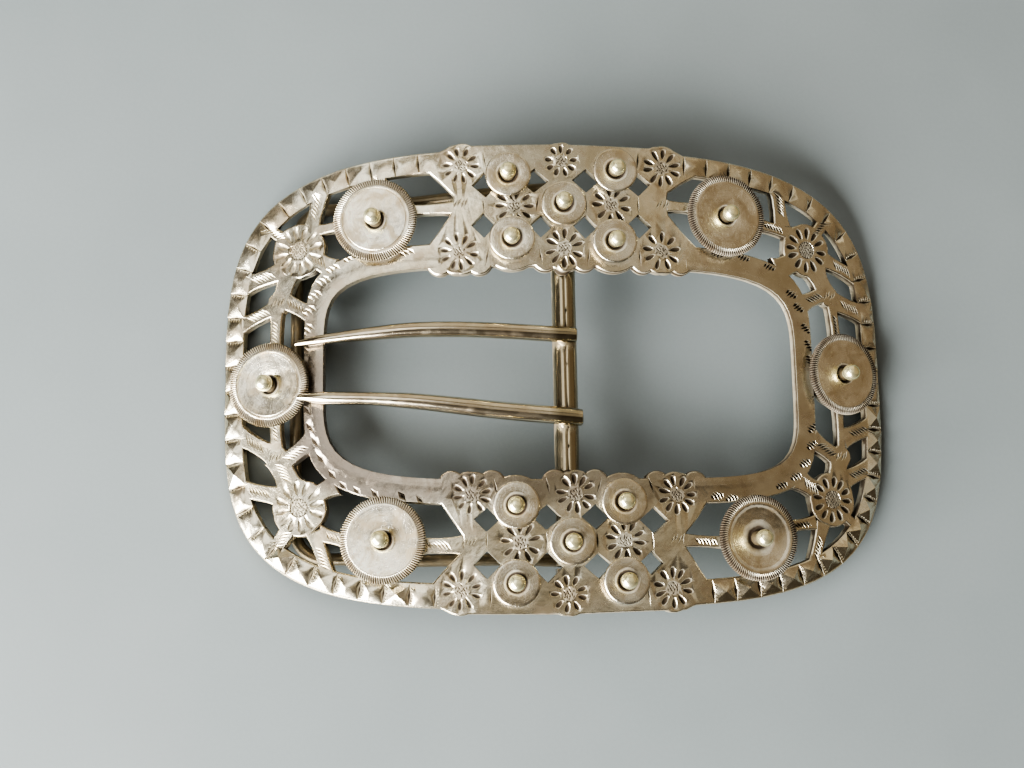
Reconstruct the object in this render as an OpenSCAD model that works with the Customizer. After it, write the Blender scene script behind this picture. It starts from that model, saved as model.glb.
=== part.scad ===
// A large old silver belt buckle: a bent, pierced and chased plate with riveted
// discs, a rolled tongue with two prongs, and a wire loop behind its left half.
// X runs along the plate, Y across it, Z up out of its face. The plate stands on
// its two bent-down ends, which are filed flat at z = 0.

/* [Plate] */
// Length of the bent plate, measured straight across
plate_w = 88; // [86:0.5:90]
// Height of the plate over the flowers at its middle
plate_h = 61.2; // [60.2:0.2:62.2]
// Radius that the top of the plate is bent to
bend_r = 112; // [105:1:125]
// Thickness of the plate
plate_t = 1.1; // [0.9:0.1:1.3]
// Height of the bordered outline
border_h = 59.2; // [58.6:0.2:59.8]
// How full the outline's corners are, 2 being an ellipse
outline_fullness = 3.6; // [3.3:0.1:3.8]
// Depth that is filed off the ends so that they stand flat
end_flat = 0.15; // [0.1:0.05:0.3]

/* [Border and window] */
// Width of the border at the ends
border_side = 2.6; // [2.4:0.1:2.8]
// Width of the border at top and bottom
border_top = 3; // [2.8:0.1:3.2]
// Length of the window
window_w = 63; // [62:0.5:64]
// Height of the window
window_h = 27.4; // [27:0.2:28]
// Width of the rim round the window at the ends
rim_side = 2.7; // [2.5:0.1:2.8]
// Width of the rim round the window at top and bottom
rim_top = 3.2; // [3:0.1:3.4]
// How far the rim's moulding stands up
rim_rise = 0.2; // [0.1:0.05:0.25]
// Spacing of the pyramids along the border
pyramid_pitch = 3.2; // [3:0.1:3.6]
// Height of each pyramid
pyramid_rise = 0.45; // [0.3:0.05:0.5]
// Half length of the plain border above and below the window
plain_half = 16.5; // [16:0.5:18]
// Width of the slits that the solder closes where two pieces of the plate meet
solder_fill = 0.1; // [0.05:0.05:0.2]

/* [Discs and studs] */
// Radius of a large disc
large_disc_r = 5.5; // [5.3:0.1:5.6]
// Radius of a small disc
small_disc_r = 2.95; // [2.8:0.05:3]
// Radius of the plate's seat under a large disc
large_seat_r = 4.4; // [4:0.1:4.6]
// Radius of the plate's seat under a small disc
small_seat_r = 2.2; // [2:0.1:2.4]
// Radius of the bead on a large disc's stud
large_bead_r = 1.08; // [0.9:0.02:1.1]
// Radius of the bead on a small disc's stud
small_bead_r = 1.06; // [0.9:0.02:1.1]
// Height of a large disc's bead over the plate
large_bead_h = 2.9; // [2.8:0.1:3.2]
// Height of a small disc's bead over the plate
small_bead_h = 2.2; // [2.1:0.1:2.6]
// Radius of a stud's shank
shank_r = 0.5; // [0.4:0.05:0.6]
// Clearance round a shank, and under a disc
rivet_gap = 0.05; // [0.03:0.01:0.08]

/* [Bar, tongue and loop] */
// Radius of the axle pin
axle_r = 0.9; // [0.8:0.05:1]
// Running clearance round the axle
axle_gap = 0.05; // [0.03:0.01:0.1]
// Depth of the axle under the top of the plate
axle_depth = 3.1; // [3:0.1:3.3]
// Outside radius of the tongue's rolled tube
tube_r = 1.6; // [1.5:0.05:1.7]
// Radius of the loop's wire
wire_r = 0.8; // [0.7:0.05:0.85]
// Reach of the loop from the bar to the middle of its far side
loop_reach = 35.3; // [34:0.1:36]
// Height of the loop's far side over the surface that the buckle lies on
loop_lift = 0.15; // [0.1:0.05:0.3]
// Outside radius of the loop's eyes
eye_r = 1.75; // [1.7:0.05:1.8]

/* [Hidden] */
large_discs = [for (i = [1 : 6]) str("large_disc_", i)];
small_discs = [for (i = [1 : 10]) str("small_disc_", i)];
large_studs = [for (i = [1 : 6]) str("large_stud_", i)];
small_studs = [for (i = [1 : 10]) str("small_stud_", i)];
$fn = 48;

silver = [0.78, 0.74, 0.66];
pale_silver = [0.86, 0.83, 0.76];
yellow_silver = [0.70, 0.64, 0.52];

// The tables give places on the plate before it is bent: s along it and y across it.
nominal_w = 88;
nominal_h = 61.2;
grow_s = plate_w / nominal_w;
grow_y = plate_h / nominal_h;
half_arc = bend_r * asin(plate_w / 2 / bend_r) * PI / 180;
end_bottom = sqrt(pow(bend_r - plate_t, 2) - pow(plate_w / 2, 2));
bend_z = -end_bottom - end_flat;
plate_top = bend_z + bend_r;
axle_z = plate_top - axle_depth;
pyramid_foot = 0.05;
pyramid_r = border_side * 0.69;
moulding_depth = 0.3;
moulding_start = 0.12;
moulding_side = rim_side * 0.75;
moulding_top = rim_top * 0.45;
link_flare = 0.3;
link_flare_run = 0.2;
outline_corners = [for (i = [1 : 4]) outline_fullness];
border_corners = [3.9, 3.9, 3.9, 3.9];
border_lift = 0.2;
window_corners = [5, 5.6, 4.4, 5.4];
window_lift = 0.2;

function lean(s) = s * grow_s / bend_r * 180 / PI;
function at(s, y) = [bend_r * sin(lean(s)), y * grow_y];

// Columns: s, y
large_places = [[-24.4, 20.2], [21.5, 21.1], [-38.4, -0.7], [38.2, 0.7], [-23.4, -20.9], [24.1, -21.1]];
small_places = [
    [-7.3, 25.9], [6.6, 26.6], [-0.2, 22], [-6.9, 17.4], [6.3, 17.1],
    [-6.9, -16.8], [6.6, -16.5], [0, -21.4], [-7, -26.4], [6.6, -26.3]
];

// Columns: s, y, radius of the flat pad that carries a chased flower
flower_pads = [
    [-13.4, 27.5, 3], [-0.3, 28, 2.6], [13.2, 27.5, 3.1], [-6.5, 21.9, 3.1], [6.2, 22.2, 3.1],
    [-13.7, 15.9, 3.1], [-0.1, 16.3, 3.1], [12.8, 16.2, 3.1],
    [-12.4, -15.4, 3], [0.6, -15.4, 3], [13.7, -15.6, 3], [-6.4, -21.4, 3.1], [6.8, -21.3, 3.1],
    [-13.8, -27.2, 3.1], [-0.5, -27.8, 2.8], [12.8, -27.2, 3.1],
    [-35, 17, 3.7], [-34.6, -16.5, 3.7], [34.1, 17.7, 3.7], [36.2, -16, 3.6]
];

// Columns: s, y, radius of the plain pad where links meet
joints_of_links = [[-37.8, 10.2, 1.5], [37.5, 11.5, 1.5], [-37.8, -10, 1.6], [38, -10.3, 1.6]];

// Outlines of the lattices above and below the window, notched at their ends
lattices = [
    [
        [-18.2, 27.2], [-14.3, 23.2], [-15, 20.5], [-18.1, 16.4], [18, 16.6], [13.9, 21.1], [13.9, 24.1],
        [17.9, 26.6], [16.6, 29.2], [14.8, 30.1], [0, 30.3], [-14.6, 30.1], [-16.4, 29.3]
    ],
    [
        [-16.9, -15.5], [-13.6, -20.4], [-14.1, -22.8], [-18.2, -27.2], [-16.8, -29.2], [-15, -30.1],
        [0, -30.3], [14.4, -30], [16.2, -29.2], [17.8, -27], [14.6, -22], [14.7, -20.5], [17.9, -16.3]
    ]
];

// Columns: s, y, radius of the bulge of the window's edge under a small disc
bulges = [[-6.9, 17.4, 4.1], [6.3, 17.1, 4], [-6.9, -16.8, 3.85], [6.6, -16.5, 3.75]];

// Columns: s, y, half width, half height of a diamond sawn through a lattice
diamonds = [
    [-10.3, 24.8, 1.7, 1.7], [-3.9, 25.3, 1.9, 1.6], [2.9, 25.4, 1.8, 1.6], [9.8, 25.1, 1.8, 1.6],
    [-10.5, 19.4, 1.6, 1.7], [-3.1, 19.2, 1.5, 1.5], [2.7, 19.2, 1.6, 1.6], [9.8, 19.4, 1.7, 1.6],
    [-10.6, -18.5, 1.6, 1.5], [-3.1, -18.3, 1.9, 1.6], [3.1, -18.3, 1.8, 1.6], [10.6, -18.8, 1.9, 1.7],
    [-10.6, -24.1, 1.7, 1.7], [-3.1, -24.5, 1.9, 1.9], [3.3, -24.4, 1.8, 1.6], [10.1, -24.1, 1.5, 1.5]
];

// Columns: s and y of one end, s and y of the other, width
links = [
    // top left corner
    [-33.6, 19, -31.6, 26.1, 2.1], [-36, 18, -40.4, 21.2, 1.6], [-37, 14.6, -43, 12.9, 2.3],
    [-37.8, 9.8, -43.2, 7.6, 1.9], [-36.4, 14, -37.6, 10, 2.6], [-38, 9.5, -38.2, 3, 1.6],
    [-37.5, 10.8, -33, 8.4, 2.1], [-34, 16.5, -30.3, 14.3, 2.4], [-33, 19.6, -28.5, 20.2, 1.4],
    // bottom left corner
    [-38.2, -9.6, -43.3, -6.8, 2.3], [-38.2, -3, -37.7, -9.7, 1.7], [-37.2, -11, -33, -8, 2.3],
    [-37.6, -10, -35.8, -14, 3.2], [-37, -15, -43, -13.8, 2.2], [-35.6, -18.5, -38.6, -22.9, 2.2],
    [-32.6, -19.5, -30.2, -26.4, 1.8], [-32, -19.8, -27.5, -21.1, 1.8], [-33.5, -15.5, -29.8, -13.6, 2.4],
    // top right corner
    [30.5, 20.5, 29.8, 26.8, 2.2], [34.5, 18.5, 38.4, 23.2, 1.9], [37, 16.6, 42.6, 14.6, 2],
    [37.8, 11, 43.8, 9.4, 2.6], [37.9, 11, 38.5, 4, 1.5], [37, 12, 33, 10.2, 2.2],
    [35.5, 15, 37.2, 11.5, 3], [33, 16.5, 29.4, 14.5, 3], [32, 19.8, 26, 20.9, 1.6],
    // bottom right corner
    [38.2, -3, 38.2, -9.8, 1.2], [38.4, -7.8, 44, -5.7, 2.4], [33.4, -8, 38, -10.8, 2.4],
    [38.2, -13.4, 43.4, -11.3, 2.3], [37.8, -10, 37, -14, 3], [37.5, -17.5, 40.6, -20, 1.4],
    [33.5, -19, 28.5, -19.7, 1.6], [34.6, -19, 32.4, -25.8, 1.8], [35, -15.5, 30.8, -13.2, 2.6],
    // from the large discs to the border and to the lattices
    [-24.4, 22, -24.4, 27.4, 2.4], [22.4, 23, 22.8, 27.8, 2.4], [-23.4, -23, -23.4, -27.8, 2.6],
    [24.1, -23, 24.1, -27.8, 2.6], [-14.2, 21.8, -21, 21.6, 1.4], [13.6, 22.4, 18.5, 22.3, 1.4],
    [-13.4, -21.6, -20, -21.6, 2], [14.2, -21.3, 20.5, -21.6, 1.5]
];

// Columns: x along the prong, y across it, radius
prong_1 = [
    [1.3, 5, 1], [-2, 5.15, 1.04], [-6, 5.4, 1.03], [-10, 5.6, 1.03], [-15, 5.75, 1.02], [-20, 5.7, 0.98],
    [-25, 5.35, 0.85], [-29, 5, 0.7], [-32, 4.7, 0.6], [-34.6, 4.4, 0.3]
];
prong_2 = [
    [1.8, -5.7, 1.1], [-2, -5.35, 1.14], [-6, -5, 1.14], [-10, -4.6, 1.13], [-15, -4, 1.09], [-20, -3.45, 1],
    [-25, -3.1, 0.84], [-29, -2.95, 0.84], [-31.6, -2.85, 0.72], [-34.2, -2.7, 0.28]
];
prong_sink = 0.3;
prong_droop = 3.2;
tip_height_1 = 5.85;
tip_height_2 = 7.05;

// The loop's eyes and arms are not quite evenly spaced about the middle.
eye_top_y = 25.3;
eye_bottom_y = -23.6;
far_top_y = 23.5;
far_bottom_y = -22.9;
loop_corner = 4;
eye_overlap = 0.3;
loop_angle = asin((axle_z - loop_lift - wire_r) / loop_reach);
lug_t = 1.5;
lug_r = 1.75;
lug_gap = 0.25;
lug_root = 0.2;
axle_end = 0.3;
lug_top_y = eye_top_y + wire_r + lug_gap + lug_t / 2;
lug_bottom_y = eye_bottom_y - wire_r - lug_gap - lug_t / 2;
tube_top_y = eye_top_y - wire_r - lug_gap;
tube_bottom_y = eye_bottom_y + wire_r + lug_gap;

// An oval with straightened sides, walked round by angle. The corners' fullness goes
// top right, top left, bottom left, bottom right, and lift moves the oval up the plate.
function oval_reach(a, b, fullness, turn) =
    pow(pow(abs(cos(turn) / a), fullness) + pow(abs(sin(turn) / b), fullness), -1 / fullness);
function oval(a, b, corners, lift, steps) = [
    for (i = [0 : steps - 1])
        let (turn = 360 * i / steps, reach = oval_reach(a, b, corners[floor(turn / 90)], turn))
        at(reach * cos(turn), reach * sin(turn) + lift)
];

// Places along the middle of the border, a pyramid apart, left out where it is plain.
border_mid = [half_arc - border_side / 2, border_h / 2 - border_top / 2 + 0.1];
walk_steps = 1440;
function mid_point(i) =
    let (turn = 360 * i / walk_steps, reach = oval_reach(border_mid[0], border_mid[1], outline_fullness, turn))
    [reach * cos(turn), reach * sin(turn)];
function walked(i, length = 0, found = []) =
    i >= walk_steps ? found
    : let (here = mid_point(i), next = mid_point(i + 1), step = norm(next - here))
      length + step >= pyramid_pitch
      ? walked(i + 1, length + step - pyramid_pitch,
               abs(next[0]) > plain_half ? concat(found, [[next, next - here]]) : found)
      : walked(i + 1, length + step, found);

module on_plate(s, y) {
    translate([at(s, y)[0], at(s, y)[1], bend_z + bend_r * cos(lean(s))]) rotate([0, lean(s), 0]) children();
}

// A layer that follows the bent plate, between two heights over its top.
module bent_layer(low, high) {
    rotate([90, 0, 0]) translate([0, bend_z, 0]) difference() {
        cylinder(r = bend_r + high, h = plate_h * 1.2, center = true, $fn = 180);
        cylinder(r = bend_r + low, h = plate_h * 1.3, center = true, $fn = 180);
    }
}

// A link is flared where it runs into its neighbours.
module link(row) {
    run = [row[2] - row[0], row[3] - row[1]];
    side = [-run[1], run[0]] / norm(run);
    stations = [
        [0, row[4] / 2 + link_flare], [link_flare_run, row[4] / 2],
        [1 - link_flare_run, row[4] / 2], [1, row[4] / 2 + link_flare]
    ];
    function edge_point(station, way) =
        let (place = [row[0], row[1]] + run * station[0] + side * station[1] * way) at(place[0], place[1]);
    polygon(concat(
        [for (station = stations) edge_point(station, -1)],
        [for (i = [3 : -1 : 0]) edge_point(stations[i], 1)]
    ));
}

// The lattices, their flowers and the bulges of the window's edge, with the diamonds sawn out.
module lattice_shape() {
    difference() {
        union() {
            for (outline = lattices) polygon([for (corner = outline) at(corner[0], corner[1])]);
            for (pad = concat(flower_pads, bulges)) translate(at(pad[0], pad[1])) circle(r = pad[2], $fn = 36);
        }
        for (row = diamonds) polygon([
            at(row[0] + row[2], row[1]), at(row[0], row[1] + row[3]),
            at(row[0] - row[2], row[1]), at(row[0], row[1] - row[3])
        ]);
    }
}

module border_shape() {
    difference() {
        polygon(oval(half_arc, border_h / 2, outline_corners, 0, 120));
        polygon(oval(half_arc - border_side, border_h / 2 - border_top, border_corners, border_lift, 96));
    }
}

// A band round the window, starting at a distance from its edge.
module rim_shape(start, side, top) {
    difference() {
        polygon(oval(window_w / 2 + side, window_h / 2 + top, window_corners, window_lift, 96));
        polygon(oval(window_w / 2 + start, window_h / 2 + start, window_corners, window_lift, 96));
    }
}

module plate_shape() {
    offset(delta = -solder_fill / 2) offset(delta = solder_fill / 2) {
        border_shape();
        rim_shape(0, rim_side, rim_top);
        lattice_shape();
        for (pad = joints_of_links) translate(at(pad[0], pad[1])) circle(r = pad[2], $fn = 36);
        for (place = large_places) translate(at(place[0], place[1])) circle(r = large_seat_r);
        for (place = small_places) translate(at(place[0], place[1])) circle(r = small_seat_r, $fn = 32);
        for (row = links) link(row);
    }
}

module pyramid(place, along) {
    on_plate(place[0], place[1])
        rotate([0, 0, atan2(along[1], along[0]) + 45])
            translate([0, 0, -pyramid_foot])
                cylinder(r1 = pyramid_r, r2 = 0, h = pyramid_foot + pyramid_rise, $fn = 4);
}

module lug(y) {
    translate([0, y, axle_z]) {
        rotate([90, 0, 0]) cylinder(r = lug_r, h = lug_t, center = true);
        translate([-lug_r, -lug_t / 2, 0]) cube([lug_r * 2, lug_t, axle_depth - plate_t + lug_root]);
    }
}

// The hole is countersunk in the plate's back, where the rivet's foot is spread.
module shank_hole(s, y) {
    hole_r = shank_r + rivet_gap;
    on_plate(s, y) {
        translate([0, 0, -plate_t * 2]) cylinder(r = hole_r, h = plate_t * 4, $fn = 32);
        translate([0, 0, -plate_t - 0.01])
            cylinder(r1 = hole_r + foot_depth, r2 = hole_r, h = foot_depth, $fn = 32);
    }
}

module frame() {
    color(silver) difference() {
        union() {
            intersection() {
                linear_extrude(plate_top + 1) plate_shape();
                bent_layer(-plate_t, 0);
            }
            intersection() {
                linear_extrude(plate_top + 1) rim_shape(moulding_start, moulding_side, moulding_top);
                bent_layer(-moulding_depth, rim_rise);
            }
            for (spot = walked(0)) pyramid(spot[0], spot[1]);
            lug(lug_top_y);
            lug(lug_bottom_y);
        }
        for (place = concat(large_places, small_places)) shank_hole(place[0], place[1]);
        translate([0, 0, axle_z]) rotate([90, 0, 0])
            cylinder(r = axle_r + axle_gap, h = plate_h, center = true);
    }
}

module axle() {
    color(yellow_silver)
        translate([0, (lug_top_y + lug_bottom_y) / 2, axle_z]) rotate([90, 0, 0])
            cylinder(r = axle_r, h = lug_top_y - lug_bottom_y + lug_t + axle_end * 2, center = true);
}

// A round bar swept along rows of [x, y, z, radius], closed at both ends.
module round_bar(rows, sides = 10) {
    last = len(rows) - 1;
    function heading(i) =
        let (ahead = rows[min(i + 1, last)], behind = rows[max(i - 1, 0)])
        let (run = [ahead[0] - behind[0], ahead[1] - behind[1], ahead[2] - behind[2]]) run / norm(run);
    function ring(i) =
        let (run = heading(i), across = cross([0, 0, 1], run))
        let (side = across / norm(across), up = cross(run, side))
        [for (j = [0 : sides - 1]) let (turn = 360 * j / sides)
            [rows[i][0], rows[i][1], rows[i][2]] + rows[i][3] * (cos(turn) * side + sin(turn) * up)];
    points = [for (i = [0 : last]) each ring(i)];
    walls = [for (i = [0 : last - 1], j = [0 : sides - 1]) let (k = (j + 1) % sides)
        each [
            [i * sides + j, i * sides + k, (i + 1) * sides + k],
            [i * sides + j, (i + 1) * sides + k, (i + 1) * sides + j]
        ]];
    caps = [[for (j = [sides - 1 : -1 : 0]) j], [for (j = [0 : sides - 1]) last * sides + j]];
    outward = [for (face = concat(walls, caps)) [for (k = [len(face) - 1 : -1 : 0]) face[k]]];
    polyhedron(points = points, faces = outward);
}

function prong_height(row, table, tip_height) =
    let (start = axle_z + tube_r + table[0][2] - prong_sink, last = table[len(table) - 1])
    let (part = max(0, (table[0][0] - row[0]) / (table[0][0] - last[0])))
    start - (start - tip_height) * pow(part, prong_droop);

module prong(table, tip_height) {
    round_bar([for (row = table) [row[0], row[1], prong_height(row, table, tip_height), row[2]]]);
}

module tongue() {
    color(yellow_silver) difference() {
        union() {
            translate([0, tube_top_y, axle_z]) rotate([90, 0, 0])
                cylinder(r = tube_r, h = tube_top_y - tube_bottom_y);
            prong(prong_1, tip_height_1);
            prong(prong_2, tip_height_2);
        }
        translate([0, 0, axle_z]) rotate([90, 0, 0])
            cylinder(r = axle_r + axle_gap, h = plate_h, center = true);
    }
}

// One end of the loop, from its eye round the corner to the middle of the far side.
function loop_arm(eye_y, far_y, way) =
    let (corner = [-loop_reach + loop_corner, far_y - way * loop_corner])
    concat(
        [[-eye_r + eye_overlap, eye_y, 0, wire_r]],
        [for (turn = [0 : 18 : 90]) [
            corner[0] - loop_corner * sin(turn), corner[1] + way * loop_corner * cos(turn), 0, wire_r]]
    );

module loop_wire() {
    top = loop_arm(eye_top_y, far_top_y, 1);
    bottom = loop_arm(eye_bottom_y, far_bottom_y, -1);
    round_bar(concat(top, [for (i = [len(bottom) - 1 : -1 : 0]) bottom[i]]));
}

module loop() {
    color(yellow_silver) translate([0, 0, axle_z]) rotate([0, -loop_angle, 0]) difference() {
        union() {
            loop_wire();
            for (y = [eye_top_y, eye_bottom_y])
                translate([0, y, 0]) rotate([90, 0, 0]) cylinder(r = eye_r, h = wire_r * 2, center = true);
        }
        rotate([90, 0, 0]) cylinder(r = axle_r + axle_gap, h = plate_h, center = true);
    }
}

// Columns: radius, height over the plate
large_disc_section = [
    [0, 0], [1.2, 0], [1.8, 0.4], [3.4, 0.62], [4.9, 0.72], [5.35, 0.78], [5.5, 0.95], [5.45, 1.12],
    [5.2, 1.36], [4.8, 1.5], [4.4, 1.52], [2.6, 1.36], [2, 1.25], [1.5, 1], [1.2, 0.8], [0, 0.78]
];
small_disc_section = [
    [0, 0], [0.9, 0], [1.5, 0.3], [2.2, 0.5], [2.75, 0.62], [2.95, 0.8], [2.9, 1],
    [2.7, 1.12], [2.3, 1.14], [1.8, 1.02], [1.4, 0.82], [1.2, 0.65], [0, 0.62]
];
large_disc_nominal = 5.5;
small_disc_nominal = 2.95;
large_seat_h = 0.78 + rivet_gap * 2;
small_seat_h = 0.64 + rivet_gap * 2;
disc_hole_h = 3;
foot_flare = 0.25;
foot_depth = 0.3;
collar_flare = 0.45;
neck_flare = 0.2;
neck_h = 0.35;

module disc(place, section, grow) {
    color(pale_silver) on_plate(place[0], place[1]) difference() {
        translate([0, 0, rivet_gap]) rotate_extrude($fn = 96)
            polygon([for (row = section) [row[0] * grow, row[1]]]);
        cylinder(r = shank_r + rivet_gap, h = disc_hole_h, center = true, $fn = 32);
    }
}

// The head is closed down over the disc, and the foot is spread in the plate's back.
module stud(place, bead_r, bead_h, seat_h) {
    color(pale_silver) on_plate(place[0], place[1]) {
        translate([0, 0, bead_h]) sphere(r = bead_r, $fn = 72);
        rotate_extrude($fn = 48) polygon([
            [0, -plate_t], [shank_r + foot_flare, -plate_t], [shank_r, -plate_t + foot_depth - rivet_gap],
            [shank_r, seat_h], [shank_r + collar_flare, seat_h], [shank_r + neck_flare, seat_h + neck_h],
            [shank_r + neck_flare, bead_h], [0, bead_h]
        ]);
    }
}

frame();
axle();
tongue();
loop();
for (i = [0 : len(large_places) - 1]) {
    disc(large_places[i], large_disc_section, large_disc_r / large_disc_nominal);
    stud(large_places[i], large_bead_r, large_bead_h, large_seat_h);
}
for (i = [0 : len(small_places) - 1]) {
    disc(small_places[i], small_disc_section, small_disc_r / small_disc_nominal);
    stud(small_places[i], small_bead_r, small_bead_h, small_seat_h);
}
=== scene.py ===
import math
import random

import bpy
from mathutils import Matrix, Vector, noise


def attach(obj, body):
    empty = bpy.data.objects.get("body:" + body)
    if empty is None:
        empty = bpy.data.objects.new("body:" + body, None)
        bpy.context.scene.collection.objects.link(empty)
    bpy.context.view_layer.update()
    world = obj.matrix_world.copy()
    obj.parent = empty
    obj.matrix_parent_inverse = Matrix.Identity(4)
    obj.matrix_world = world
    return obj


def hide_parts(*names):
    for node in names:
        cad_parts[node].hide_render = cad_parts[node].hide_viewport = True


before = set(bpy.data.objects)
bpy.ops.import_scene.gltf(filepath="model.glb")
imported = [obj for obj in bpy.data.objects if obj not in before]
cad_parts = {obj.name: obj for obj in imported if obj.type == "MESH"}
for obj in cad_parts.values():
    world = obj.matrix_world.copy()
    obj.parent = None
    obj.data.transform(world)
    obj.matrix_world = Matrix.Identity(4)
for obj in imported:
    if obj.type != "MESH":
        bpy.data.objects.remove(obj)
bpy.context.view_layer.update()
print("frame loaded")

mm = 0.001
dice = random.Random(17)
noise.seed_set(17)

# The plate is worked flat, in millimetres along it (s), across it (y) and over it (h), then bent.
bend = {"radius": 112.0, "centre": -101.95, "halfArc": 45.25, "slice": 1.5}
axlePlace = (0, 0, 6.95)
axleBore = 0.95


def clearSelection():
    if bpy.context.mode != "OBJECT":
        bpy.ops.object.mode_set(mode="OBJECT")
    bpy.ops.object.select_all(action="DESELECT")


def use(piece):
    clearSelection()
    piece.select_set(True)
    bpy.context.view_layer.objects.active = piece


def editAll(piece):
    use(piece)
    bpy.ops.object.mode_set(mode="EDIT")
    bpy.ops.mesh.select_all(action="SELECT")


def leaveEdit():
    bpy.ops.object.mode_set(mode="OBJECT")


def faceOutwards():      # every face of the piece in edit mode
    bpy.ops.mesh.select_all(action="SELECT")
    bpy.ops.mesh.normals_make_consistent(inside=False)


def tidyMesh(piece, merge=0.0005):
    editAll(piece)
    bpy.ops.mesh.remove_doubles(threshold=merge)
    bpy.ops.mesh.delete_loose()
    faceOutwards()
    leaveEdit()


def sliceAcross(piece, cuts, way):      # new edges where planes at right angles to way cross it
    editAll(piece)
    for cut in cuts:
        bpy.ops.mesh.select_all(action="SELECT")
        bpy.ops.mesh.bisect(plane_co=Vector(way) * cut, plane_no=way)
    leaveEdit()


def joinPieces(pieces):
    clearSelection()
    for piece in pieces:
        piece.select_set(True)
    bpy.context.view_layer.objects.active = pieces[0]
    if len(pieces) > 1:
        bpy.ops.object.join()
    return bpy.context.view_layer.objects.active


def copyAt(original, matrix):
    copy = original.copy()
    copy.data = original.data.copy()
    copy.data.transform(matrix)
    bpy.context.scene.collection.objects.link(copy)
    return copy


def dropPiece(piece):
    data = piece.data
    bpy.data.objects.remove(piece)
    bpy.data.meshes.remove(data)


def combine(piece, others, how):      # solid joining or cutting of closed pieces
    group = bpy.data.collections.new("others")
    for other in others:
        group.objects.link(other)
    step = piece.modifiers.new(how, "BOOLEAN")
    step.operand_type = "COLLECTION"
    step.collection = group
    step.solver = "MANIFOLD"
    step.operation = how
    use(piece)
    bpy.ops.object.modifier_apply(modifier=step.name)
    bpy.data.collections.remove(group)
    for other in others:
        dropPiece(other)


def held(value, low=0.0, high=1.0):
    return max(low, min(high, value))


def at(s, y, turn=0.0, h=0.0):      # a place on the flat plate, turned about the upright
    return Matrix.Translation((s, y, h)) @ Matrix.Rotation(turn, 4, "Z")


def polygonPiece(name, points):      # a flat face with its corners at the given points
    clearSelection()
    bpy.ops.mesh.primitive_circle_add(vertices=len(points), radius=1, fill_type="NGON")
    piece = bpy.context.object
    piece.name = name
    for corner, point in zip(piece.data.vertices, points):
        corner.co = point
    return piece


def filed(edge):      # an edge filed round: how far inwards and upwards, twice
    return [(edge * 0.3, edge * 0.45), (edge * 0.85, edge * 0.55)]


def raiseFaces(straight, steps):      # up, and then inwards and upwards in steps
    bpy.ops.mesh.extrude_region_move(TRANSFORM_OT_translate={"value": (0, 0, straight)})
    for inward, upward in steps:
        bpy.ops.mesh.inset(thickness=inward, depth=0)
        bpy.ops.transform.translate(value=(0, 0, upward))
    faceOutwards()
    leaveEdit()


def slab(name, outline, low, high, edge):      # sawn to an outline, with its top edge filed round
    piece = polygonPiece(name, [(point[0], point[1], low) for point in outline])
    editAll(piece)
    raiseFaces(high - low - edge, filed(edge))
    return piece


def band(name, outer, inner, low, high, steps):      # between two outlines, with its top in steps
    clearSelection()
    rings = []
    for outline in (outer, inner):
        bpy.ops.mesh.primitive_circle_add(vertices=len(outline), radius=1, fill_type="NOTHING")
        rings.append(bpy.context.object)
        for corner, point in zip(rings[-1].data.vertices, outline):
            corner.co = (point[0], point[1], low)
    piece = joinPieces(rings)
    piece.name = name
    editAll(piece)
    bpy.ops.mesh.bridge_edge_loops()
    faceOutwards()
    raiseFaces(high - low - sum(step[1] for step in steps), steps)
    return piece


def oval(halfLength, halfHeight, fullness, lift, count):
    points = []
    for i in range(count):
        turn = 2 * math.pi * i / count
        n = fullness[int(4 * i / count)]
        across, up = math.cos(turn), math.sin(turn)
        reach = (abs(across / halfLength) ** n + abs(up / halfHeight) ** n) ** (-1 / n)
        points.append((reach * across, reach * up + lift))
    return points


# The plate's own sizes; the tables below give places on it before it is bent.
plate = {
    "back": -1.1, "edge": 0.16, "outerHalfHeight": 29.6, "outerFullness": [3.6] * 4,
    "borderSide": 2.6, "borderTop": 3.0, "borderFullness": [3.9] * 4, "borderLift": 0.2,
    "windowHalf": (31.5, 13.7), "windowFullness": [5, 5.6, 4.4, 5.4], "windowLift": 0.2,
    "rimSide": 2.7, "rimTop": 3.2, "mouldSide": 2.02, "mouldTop": 1.44, "mouldRise": 0.07,
    "mouldGap": 18.6, "largeSeat": 4.4, "smallSeat": 2.2, "rivetHole": 0.57,
    "padEdge": 0.14, "seatEdge": 0.1, "linkEdge": 0.16, "lobeEdge": 0.2,
}
pyramids = {"pitch": 3.2, "half": (1.55, 1.22), "rise": 0.66, "plainHalf": 16.5}
flowerPads = [      # s, y, radius
    (-13.4, 27.5, 3), (-0.3, 28, 2.6), (13.2, 27.5, 3.1), (-6.5, 21.9, 3.1), (6.2, 22.2, 3.1),
    (-13.7, 15.9, 3.1), (-0.1, 16.3, 3.1), (12.8, 16.2, 3.1),
    (-12.4, -15.4, 3), (0.6, -15.4, 3), (13.7, -15.6, 3), (-6.4, -21.4, 3.1), (6.8, -21.3, 3.1),
    (-13.8, -27.2, 3.1), (-0.5, -27.8, 2.8), (12.8, -27.2, 3.1),
    (-35, 17, 3.7), (-34.6, -16.5, 3.7), (34.1, 17.7, 3.7), (36.2, -16, 3.6),
]
jointPads = [(-37.8, 10.2, 1.5), (37.5, 11.5, 1.5), (-37.8, -10, 1.6), (38, -10.3, 1.6)]
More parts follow.
